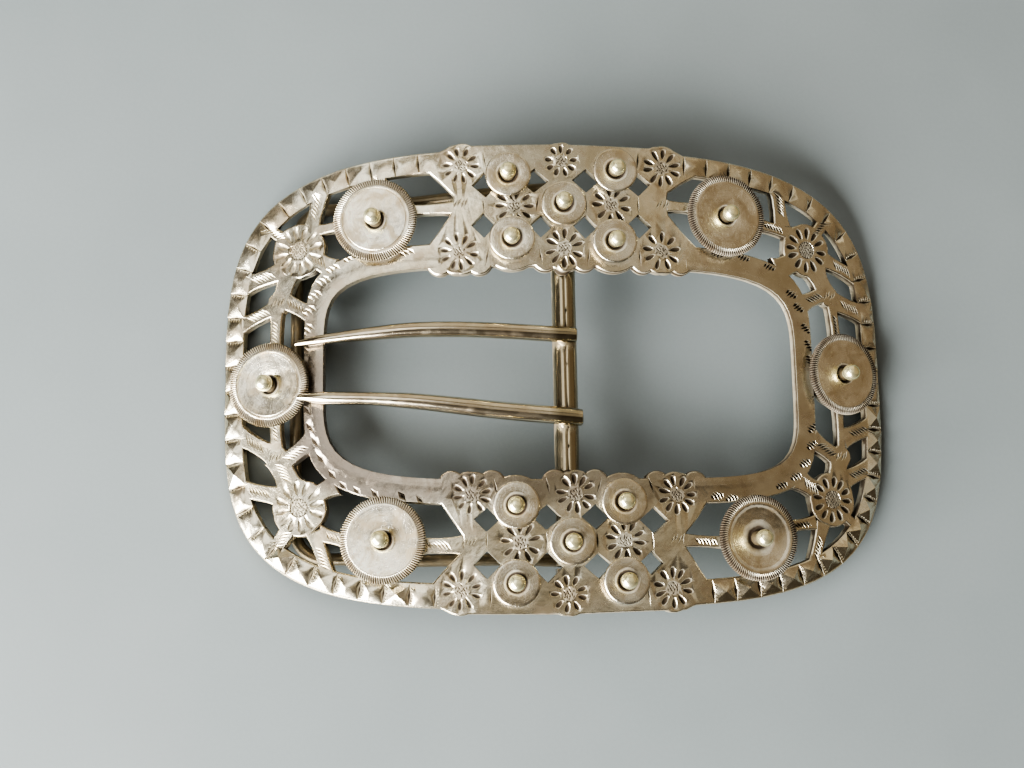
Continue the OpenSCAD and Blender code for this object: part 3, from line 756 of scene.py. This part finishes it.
discMaster = buildLargeDisc()
smallMaster = turnedDisc("smallDisc", smallDisc, 72)
largeStudMaster = buildStud(stud["large"])
smallStudMaster = buildStud(stud["small"])
discPieces, studPieces = [], []
for kind, places, discPiece, studPiece in (
        ("large", largePlaces, discMaster, largeStudMaster),
        ("small", smallPlaces, smallMaster, smallStudMaster)):
    for i, (s, y) in enumerate(places):
        spin = Matrix.Rotation(dice.uniform(0, 6), 4, "Z")
        newDisc = copyAt(discPiece, spin)
        if kind == "large":
            dishLargeDisc(newDisc, i)
        dent(newDisc, 0.018 if kind == "large" else 0.022, 0.7, i * 3.1 + len(kind))
        newDisc.data.transform(onPlate(s, y))
        newStud = copyAt(studPiece, spin)
        lean = Vector((dice.uniform(-1, 1), dice.uniform(-1, 1), 0)) * 0.035
        base = stud[kind]["seat"]
        for vertex in newStud.data.vertices:      # the stem was closed a little crooked
            if vertex.co.z > base + 0.05:
                vertex.co.xy += lean.xy * (vertex.co.z - base - 0.05) * 1.6
        newStud.data.transform(onPlate(s, y))
        for piece, word, slot in ((newDisc, "disc", "disc_silver"), (newStud, "stud", "bead_silver")):
            finishPiece(piece, "%s_%s_piece_%d" % (kind, word, i + 1), 40)
            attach(piece, "frame")
            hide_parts("%s_%s_%d" % (kind, word, i + 1))
        discPieces.append(newDisc)
        studPieces.append(newStud)
for master in (discMaster, smallMaster, largeStudMaster, smallStudMaster):
    dropPiece(master)
print("discs and studs made")


def barAlong(name, rows, sides):      # a round bar through rows of (x, y, z, radius)
    points = [Vector(row[:3]) for row in rows]
    clearSelection()
    bpy.ops.mesh.primitive_circle_add(vertices=sides, radius=1, fill_type="NGON")
    piece = bpy.context.object
    piece.name = name
    editAll(piece)
    for _ in rows[1:]:
        bpy.ops.mesh.extrude_region_move(TRANSFORM_OT_translate={"value": (0, 0, 1)})
    leaveEdit()
    for i, point in enumerate(points):
        run = (points[min(i + 1, len(points) - 1)] - points[max(i - 1, 0)]).normalized()
        side = Vector((0, 0, 1)).cross(run).normalized()
        up = run.cross(side)
        for j in range(sides):
            turn = 2 * math.pi * j / sides
            vertex = piece.data.vertices[i * sides + j]
            vertex.co = point + rows[i][3] * (math.cos(turn) * side + math.sin(turn) * up)
    tidyMesh(piece)
    return piece


def smoothRows(rows, count):      # a curve through the rows, so that the bar has no corners
    finer = []
    for i in range(len(rows) - 1):
        a, b, c, d = (Vector(rows[max(0, min(len(rows) - 1, k))]) for k in (i - 1, i, i + 1, i + 2))
        for j in range(count):
            t = j / count
            finer.append(0.5 * ((2 * b) + (c - a) * t + (2 * a - 5 * b + 4 * c - d) * t * t
                                + (3 * b - a - 3 * c + d) * t ** 3))
    finer.append(Vector(rows[-1]))
    return finer


# The tongue: a rolled tube with two prongs soldered on it.
tongue = {
    "tube": 1.6, "ends": (24.25, -22.55), "seam": 0.12, "seamTurn": 88,
    "gaps": [(8.4, 1.3), (1.4, 0.5), (-9.2, 0.9), (-6.8, 0.4)],      # y and length, in the seam
    "sink": 0.3, "droop": 3.2, "tips": (5.85, 7.05), "solder": (0.95, 1.25, 0.42, 1),
    "prongs": [      # x, y and radius, from the tube to the tip
        [(1.3, 5, 1), (-2, 5.15, 1.04), (-6, 5.4, 1.03), (-10, 5.6, 1.03), (-15, 5.75, 1.02),
         (-20, 5.7, 0.98), (-25, 5.35, 0.85), (-29, 5, 0.7), (-32, 4.7, 0.6), (-34.6, 4.4, 0.3)],
        [(1.8, -5.7, 1.1), (-2, -5.35, 1.14), (-6, -5, 1.14), (-10, -4.6, 1.13), (-15, -4, 1.09),
         (-20, -3.45, 1), (-25, -3.1, 0.84), (-29, -2.95, 0.84), (-31.6, -2.85, 0.72),
         (-34.2, -2.7, 0.28)]],
}


def buildTongue():
    outer, count = [], 60
    for i in range(count):
        turn = 2 * math.pi * i / count
        away = abs((math.degrees(turn) - tongue["seamTurn"] + 180) % 360 - 180)
        r = tongue["tube"] - (tongue["seam"] if away < 3 else 0.03 if away < 9 else 0)
        outer.append((r * math.cos(turn), r * math.sin(turn)))
    inner = disc(0, 0, axleBore, count)
    length = tongue["ends"][0] - tongue["ends"][1]
    tube = band("tube", outer, inner, 0, length, [(0.04, 0.08), (0.08, 0.04)])
    sliceAcross(tube, [length * i / 32 for i in range(1, 32)], (0, 0, 1))
    for vertex in tube.data.vertices:      # the rolled sheet isn't quite round or straight
        r = math.hypot(vertex.co.x, vertex.co.y)
        if r > 1.2:
            grain = Vector((vertex.co.x * 0.4, vertex.co.y * 0.4, vertex.co.z * 0.35))
            swell = 1 - 0.018 * (1 + noise.noise(grain))
            vertex.co.xy *= swell
    tube.data.transform(Matrix.Translation((0, tongue["ends"][0], axlePlace[2]))
                        @ Matrix.Rotation(math.pi / 2, 4, "X"))
    parts = []
    for table, tip in zip(tongue["prongs"], tongue["tips"]):
        start = axlePlace[2] + tongue["tube"] + table[0][2] - tongue["sink"]
        rows = []
        for x, y, r in table:
            part = max(0.0, (table[0][0] - x) / (table[0][0] - table[-1][0]))
            rows.append((x, y, start - (start - tip) * part ** tongue["droop"], r))
        rows = smoothRows(rows, 4)
        first, last = rows[0], rows[-1]
        blunt = [(first[0] + back, first[1], first[2], first[3] * share)
                 for back, share in ((0.02, 0.55), (0.0, 0.8), (-0.12, 0.96))]
        point = [(last[0] - ahead, last[1] - ahead * 0.05, last[2] - ahead * 0.02, last[3] * share)
                 for ahead, share in ((0.04, 0.8), (0.09, 0.45))]
        parts.append(barAlong("prong", [tuple(r) for r in blunt + rows[1:] + point], 24))
        clearSelection()      # solder run round the prong's root
        bpy.ops.mesh.primitive_ico_sphere_add(subdivisions=4, radius=1)
        solder = bpy.context.object
        solder.data.transform(Matrix.Translation((-0.2, table[0][1] - 0.15, axlePlace[2] + 1.35))
                              @ Matrix.Diagonal(tongue["solder"]))
        dent(solder, 0.1, 1.4, table[0][1])
        parts.append(solder)
    combine(tube, parts, "UNION")
    cutters = []
    wedge = strokeCutter()
    for y, length in tongue["gaps"]:
        place = at(0.06, y, math.pi / 2, axlePlace[2] + tongue["tube"])
        cutters.append(copyAt(wedge, place @ Matrix.Diagonal((length, 0.34, 0.5, 1))))
    dropPiece(wedge)
    combine(tube, cutters + [axleDrill()], "DIFFERENCE")
    mark(tube, "dirt", tongueDirtAndShade)
    return finishPiece(tube, "double_tongue", 35)


def tongueDirtAndShade(co):      # painted shade under the tube, and dirt in its seam and round the prongs' roots
    # The tube's underside, facing the floor, gets painted shade.
    low = held((axlePlace[2] + 0.9 - co.z) / 1.3) if abs(co.x) < 1.7 else 0.0
    if math.hypot(co.x, co.z - axlePlace[2]) < tongue["tube"] - 0.08 and co.z > axlePlace[2] + 1.2:
        low = 1.0
    near = max(held(1 - math.hypot(co.x, (co.y - prong[0][1]) * 0.8) / 2.2) for prong in tongue["prongs"])
    atTube = held((axlePlace[2] + 2.1 - co.z) / 0.8)
    return min(1.0, low * 0.7 + near * atTube)


tonguePiece = buildTongue()
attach(tonguePiece, "tongue")
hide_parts("tongue")
print("tongue made:", len(tonguePiece.data.polygons), "faces")


# The wire loop behind the left half.
loop = {
    "wire": 0.8, "reach": 35.3, "lift": 0.15, "corner": 4, "eye": 1.75, "overlap": 0.3,
    "eyeY": (25.3, -23.6), "farY": (23.5, -22.9),
}


def buildLoop():
    wire, corner = loop["wire"], loop["corner"]
    rows = []
    for eyeY, farY, way in zip(loop["eyeY"], loop["farY"], (1, -1)):
        arm = []
        turnAt = Vector((-loop["reach"] + corner, farY - way * corner))
        rootX = -loop["eye"] + loop["overlap"]
        for i in range(14):
            part = i / 14
            arm.append((rootX + (turnAt.x - rootX) * part,
                        eyeY + (farY - eyeY) * part + 0.12 * math.sin(part * 7), 0,
                        wire * (1 - 0.02 * (i % 2))))
        for i in range(11):
            turn = math.pi / 2 * i / 10
            arm.append((turnAt.x - corner * math.sin(turn),
                        turnAt.y + way * corner * math.cos(turn), 0, wire * 0.99))
        rows.append(arm)
    firstY, lastY = rows[0][-1][1], rows[1][-1][1]
    far = [(-loop["reach"], firstY + (lastY - firstY) * i / 14, 0, wire) for i in range(1, 14)]
    bar = barAlong("wire", rows[0] + far + rows[1][::-1], 20)
    eyes = []
    for y in loop["eyeY"]:
        eye = band("eye", disc(0, 0, loop["eye"]), disc(0, 0, axleBore), 0, wire * 2,
                   [(0.06, 0.12), (0.12, 0.06)])
        eye.data.transform(Matrix.Translation((0, y + wire, 0)) @ Matrix.Rotation(math.pi / 2, 4, "X"))
        eyes.append(eye)
    combine(bar, eyes, "UNION")
    combine(bar, [axleDrill((0, 0, 0))], "DIFFERENCE")
    tilt = math.asin((axlePlace[2] - loop["lift"] - wire) / loop["reach"])
    bar.data.transform(Matrix.Translation(axlePlace) @ Matrix.Rotation(-tilt, 4, "Y"))
    # Darkened all over: painted shade, as the wire lies beneath the plate.
    mark(bar, "dirt", lambda co: 0.33)
    return finishPiece(bar, "wire_loop", 35)


loopPiece = buildLoop()
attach(loopPiece, "loop")
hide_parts("loop")
print("loop made:", len(loopPiece.data.polygons), "faces")


# The finishes are worked out with sockets that sum like numbers.
class Shade:
    def __init__(self, finish, socket):
        self.finish, self.socket = finish, socket

    def sum(self, kind, first, second):
        return self.finish.add("ShaderNodeMath", {"operation": kind}, {0: first, 1: second})

    def __add__(self, other):
        return self.sum("ADD", self, other)

    def __radd__(self, other):
        return self.sum("ADD", other, self)

    def __sub__(self, other):
        return self.sum("SUBTRACT", self, other)

    def __rsub__(self, other):
        return self.sum("SUBTRACT", other, self)

    def __mul__(self, other):
        return self.sum("MULTIPLY", self, other)

    def __rmul__(self, other):
        return self.sum("MULTIPLY", other, self)


class Finish:
    def __init__(self, name):
        self.material = bpy.data.materials.new(name)
        self.material.use_nodes = True
        self.tree = self.material.node_tree
        self.tree.nodes.clear()

    def add(self, kind, settings, sockets, output=0):
        node = self.tree.nodes.new(kind)
        for name, value in settings.items():
            if name == "stops":
                ramp = node.color_ramp
                while len(ramp.elements) < len(value):
                    ramp.elements.new(0.5)
                for stop, (place, shade) in zip(ramp.elements, value):
                    stop.position, stop.color = place, shade
            else:
                setattr(node, name, value)
        for name, value in sockets.items():
            if isinstance(value, Shade):
                self.tree.links.new(value.socket, node.inputs[name])
            else:
                node.inputs[name].default_value = value
        return Shade(self, node.outputs[output]) if node.outputs else None

    def ramp(self, value, low, high):      # 0 at low to 1 at high, held beyond
        return self.add("ShaderNodeMapRange", {}, {"Value": value, "From Min": low, "From Max": high})

    def mix(self, part, first, second):
        return self.add("ShaderNodeMix", {"data_type": "RGBA"}, {0: part, 6: first, 7: second}, 2)

    def power(self, base, exponent):
        return self.add("ShaderNodeMath", {"operation": "POWER"}, {0: base, 1: exponent})

    def apart(self, where):      # the x and y of a place
        split = self.add("ShaderNodeSeparateXYZ", {}, {"Vector": where})
        return split, Shade(self, split.socket.node.outputs[1])

    def noise(self, where, scale, detail=3.0, roughness=0.55, distortion=0.0):
        return self.add("ShaderNodeTexNoise", {}, {"Vector": where, "Scale": scale, "Detail": detail,
                                                   "Roughness": roughness, "Distortion": distortion})

    def close(self, **sockets):
        named = {name.replace("_", " "): value for name, value in sockets.items()}
        shader = self.add("ShaderNodeBsdfPrincipled", {}, named)
        self.add("ShaderNodeOutputMaterial", {}, {"Surface": shader})
        return self.material


def oldSilver(name, look):
    look = {"metal": 1.0, "patchy": 0.2, **look}
    f = Finish(name)
    where = f.add("ShaderNodeTexCoord", {}, {}, 3)
    dirtAndShadeMark = f.add("ShaderNodeAttribute", {"attribute_name": "dirt"}, {}, 2)
    cloud = f.noise(where, 190, 4)
    hammer = f.noise(where, 520, 2, 0.5, 0.3)
    patch = f.noise(where, 900, 5, 0.62, 0.5)
    grain = f.noise(where, 3200, 2)
    stain = f.ramp(f.noise(where, 340, 5, 0.6, 0.8), *look["spots"])
    long = f.add("ShaderNodeMapping", {}, {"Vector": where, "Scale": look["brush"]})
    scratch = f.ramp(f.noise(long, 1500, 3, 0.7), 0.56, 0.7)
    # Hollows and overlaps found by occlusion are darkened: partly grime, partly painted shade where parts
    # overlap.
    cavity = f.add("ShaderNodeAmbientOcclusion", {"samples": 8}, {"Distance": look["cavity"] * mm}, 1)
    shadeAndGrimeInHollows = f.ramp(1 - cavity, 0.12, 0.6)
    # Darkened by the mark and the hollows: real grime and tarnish in the cuts, and painted shade under
    # pieces, round the studs and on the wire.
    dirt = f.ramp(dirtAndShadeMark + shadeAndGrimeInHollows * look["shadeAndGrimeGather"] + (patch - 0.5) * look["mottle"], 0.2, 0.8)
    bright = f.mix(f.ramp(cloud, 0.38, 0.64), look["warm"], look["pale"])
    bright = f.mix(stain * look["stainShare"], bright, look["stain"])
    bright = f.mix(scratch * look["scratch"], bright, look["worn"])
    if "windowDarkening" in look:      # the metal round the window is darker, most at the left end and least above the window
        windowDarkening = look["windowDarkening"]
        along, across = f.apart(where)
        reachX = f.power(along * along * (1 / windowDarkening["halfX"] ** 2), 2.5)
        reachY = f.power(across * across * (1 / windowDarkening["halfY"] ** 2), 2.5)
        nearWindow = (1 - f.ramp(reachX + reachY, 1.0, 1.5)) * (1 - f.ramp(across, 0, 0.014) * 0.75)
        leftMore = 1.35 - f.ramp(along, -0.03, 0.03) * 1.05
        bright = f.mix(nearWindow * leftMore * windowDarkening["share"], bright, windowDarkening["colour"])
    if "tube" in look:      # the rolled tube is yellower than the prongs
        along = f.apart(where)[0]
        onTube = 1 - f.ramp(along * along * 1000, 0.001, 0.006)
        bright = f.mix(onTube * look["tube"]["share"], bright, look["tube"]["colour"])
    colour = f.mix(dirt * look["dirtAndShadeShare"], bright, look["dirt"])
    rough = look["rough"] + (patch - 0.5) * look["patchy"] + dirt * 0.4 + stain * 0.08
    height = hammer + cloud * 1.5 + patch * look["pitted"] + grain * 0.04
    height = height - scratch * look["scratch"] * 0.2
    if "turned" in look:      # fine rings from the lathe
        reach = f.add("ShaderNodeAttribute", {"attribute_name": "reach"}, {}, 2)
        ring = f.add("ShaderNodeCombineXYZ", {}, {"X": reach * 9.0, "Y": cloud * 2.0})
        rings = f.noise(ring, 1.0, 3)
        height = height + rings * look["turned"]
        rough = rough + (rings - 0.5) * 0.25
    bump = f.add("ShaderNodeBump", {}, {"Strength": 1.0, "Distance": look["uneven"] * mm,
                                        "Height": height})
    return f.close(Base_Color=colour, Metallic=look["metal"] - dirt * 0.9, Roughness=rough, Normal=bump,
                   Specular_IOR_Level=0.1)


looks = {
    "plate": {
        "warm": (0.6, 0.53, 0.38, 1), "pale": (0.78, 0.73, 0.58, 1), "worn": (0.96, 0.93, 0.83, 1),
        "stain": (0.34, 0.23, 0.13, 1), "dirt": (0.02, 0.013, 0.007, 1), "stainShare": 0.45,
        "dirtAndShadeShare": 0.98, "rough": 0.23, "cavity": 1.2, "shadeAndGrimeGather": 0.75,
        "mottle": 0.35, "scratch": 0.15, "uneven": 0.06, "pitted": 0.12, "brush": (1, 6, 1),
        "spots": (0.48, 0.66),
        "windowDarkening": {"share": 0.66, "colour": (0.2, 0.165, 0.135, 1), "halfX": 0.03425, "halfY": 0.0158},
    },
    "disc": {
        "warm": (0.64, 0.56, 0.41, 1), "pale": (0.86, 0.81, 0.67, 1), "worn": (0.97, 0.95, 0.88, 1),
        "stain": (0.44, 0.34, 0.2, 1), "dirt": (0.024, 0.015, 0.009, 1), "stainShare": 0.7,
        "dirtAndShadeShare": 0.98, "rough": 0.24, "cavity": 0.8, "shadeAndGrimeGather": 0.6,
        "mottle": 0.3, "scratch": 0.4, "uneven": 0.05, "pitted": 0.08, "turned": 0.1,
        "brush": (5, 1, 1), "spots": (0.46, 0.62),
    },
    "bead": {
        "warm": (0.84, 0.76, 0.44, 1), "pale": (0.93, 0.88, 0.58, 1), "worn": (0.98, 0.97, 0.9, 1),
        "stain": (0.7, 0.62, 0.4, 1), "dirt": (0.04, 0.026, 0.013, 1), "stainShare": 0.2,
        "dirtAndShadeShare": 0.97, "rough": 0.24, "patchy": 0.03, "metal": 0.92, "cavity": 0.5, "shadeAndGrimeGather": 0.3,
        "mottle": 0.0, "scratch": 0.0, "uneven": 0.002, "pitted": 0.1, "brush": (1, 1, 4),
        "spots": (0.5, 0.68),
    },
    "bar": {
        "warm": (0.58, 0.49, 0.36, 1), "pale": (0.74, 0.67, 0.52, 1), "worn": (0.93, 0.88, 0.76, 1),
        "stain": (0.4, 0.3, 0.18, 1), "dirt": (0.03, 0.02, 0.01, 1), "stainShare": 0.3,
        "dirtAndShadeShare": 0.92, "rough": 0.16, "patchy": 0.1, "cavity": 0.7, "shadeAndGrimeGather": 0.35,
        "mottle": 0.1, "scratch": 0.05, "uneven": 0.015, "pitted": 0.1, "brush": (1, 8, 8),
        "spots": (0.5, 0.68), "tube": {"share": 0.85, "colour": (0.29, 0.245, 0.155, 1)},
    },
    # The wire's colours are painted darker: painted shade from the plate above it.
    "wire": {
        "warm": (0.15, 0.125, 0.08, 1), "pale": (0.24, 0.2, 0.135, 1), "worn": (0.6, 0.55, 0.44, 1),
        "stain": (0.25, 0.18, 0.1, 1), "dirt": (0.026, 0.018, 0.009, 1), "stainShare": 0.5,
        "dirtAndShadeShare": 0.9, "rough": 0.28, "cavity": 0.6, "shadeAndGrimeGather": 0.4,
        "mottle": 0.3, "scratch": 0.1, "uneven": 0.04, "pitted": 0.2, "brush": (1, 5, 5),
        "spots": (0.5, 0.68),
    },
}


def dress(piece, material):
    piece.data.materials.clear()
    piece.data.materials.append(material)


finishes = {kind: oldSilver(kind + "Silver", look) for kind, look in looks.items()}
dress(plateMesh, finishes["plate"])
for piece in discPieces:
    dress(piece, finishes["disc"])
for piece in studPieces:
    dress(piece, finishes["bead"])
dress(tonguePiece, finishes["bar"])
dress(loopPiece, finishes["wire"])
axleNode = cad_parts["axle"]
for slot in axleNode.material_slots:
    slot.material = finishes["bar"]
print("finishes made")


# Floor, light and camera.
floorLook = {
    "size": 1.6, "colour": (0.145, 0.165, 0.168, 1), "dark": (0.125, 0.145, 0.148, 1),
    "under": (0.05, 0.058, 0.056, 1),
}
clearSelection()
bpy.ops.mesh.primitive_plane_add(size=floorLook["size"], location=(0, 0, 0))
floor = bpy.context.object
floor.name = "floor"
f = Finish("floorPaint")
where = f.add("ShaderNodeTexCoord", {}, {}, 3)
mottle = f.noise(where, 30, 3)
fineGrain = f.noise(where, 1800, 2)
# Painted shadow: the floor is darkened where the buckle hides it, less so beyond the window where light
# falls through.
openness = f.add("ShaderNodeAmbientOcclusion", {"samples": 8}, {"Distance": 14 * mm}, 1)
plain = f.mix(f.ramp(mottle + fineGrain * 0.3, 0.4, 0.9), floorLook["colour"], floorLook["dark"])
lit = f.ramp(f.apart(where)[1], -0.004, 0.014) * 0.8      # light falls through the window beyond it
clear = f.ramp(openness, 0.3, 0.85)
dress(floor, f.close(
    Base_Color=f.mix(clear + (1 - clear) * lit, floorLook["under"], plain),
    Roughness=0.42 + fineGrain * 0.1,
    Normal=f.add("ShaderNodeBump", {}, {"Strength": 0.15, "Distance": 0.00005, "Height": fineGrain})))

lights = [      # name, place, aim, width, height, watts, colour
    ("windowLight", (-0.37, -0.27, 0.22), (0, 0, 0), 0.5, 0.32, 23.0, (1.0, 0.99, 0.96)),
    ("leftSky", (-0.19, 0.1, 0.4), (-0.02, 0, 0), 0.24, 0.22, 0.3, (0.98, 0.99, 1.0)),
    ("ceiling", (0.02, 0.2, 0.85), (0, 0, 0), 0.9, 0.5, 0.58, (1.0, 0.93, 0.79)),
    ("rightWall", (0.36, 0.16, 0.28), (0.03, 0, 0), 0.56, 0.5, 0.22, (1.0, 0.8, 0.56)),
    ("backWall", (0.0, 0.42, 0.23), (0, 0, 0.05), 0.6, 0.44, 0.56, (1.0, 0.92, 0.74)),
]
for name, place, aim, width, height, watts, colour in lights:
    clearSelection()
    bpy.ops.object.light_add(type="AREA", location=place)
    lamp = bpy.context.object
    lamp.name = name
    lamp.data.shape = "RECTANGLE"
    lamp.data.size = width
    lamp.data.size_y = height
    lamp.data.energy = watts
    lamp.data.color = colour
    lamp.rotation_euler = (Vector(aim) - Vector(place)).to_track_quat("-Z", "Y").to_euler()

world = bpy.data.worlds.new("studio")
bpy.context.scene.world = world
world.use_nodes = True
world.node_tree.nodes["Background"].inputs["Color"].default_value = (0.5, 0.4, 0.28, 1)
world.node_tree.nodes["Background"].inputs["Strength"].default_value = 0.13

view = {"place": (-22.65, -28.99, 175.07), "turn": (9.5, -5.2, -0.9), "lens": 46.76}
clearSelection()
bpy.ops.object.camera_add(location=[c * mm for c in view["place"]],
                          rotation=[math.radians(t) for t in view["turn"]])
camera = bpy.context.object
camera.data.sensor_width = 36
camera.data.lens = view["lens"]
camera.data.clip_start = 0.005
bpy.context.scene.camera = camera
bpy.context.scene.view_settings.look = "AgX - Medium High Contrast"
print("stage set")
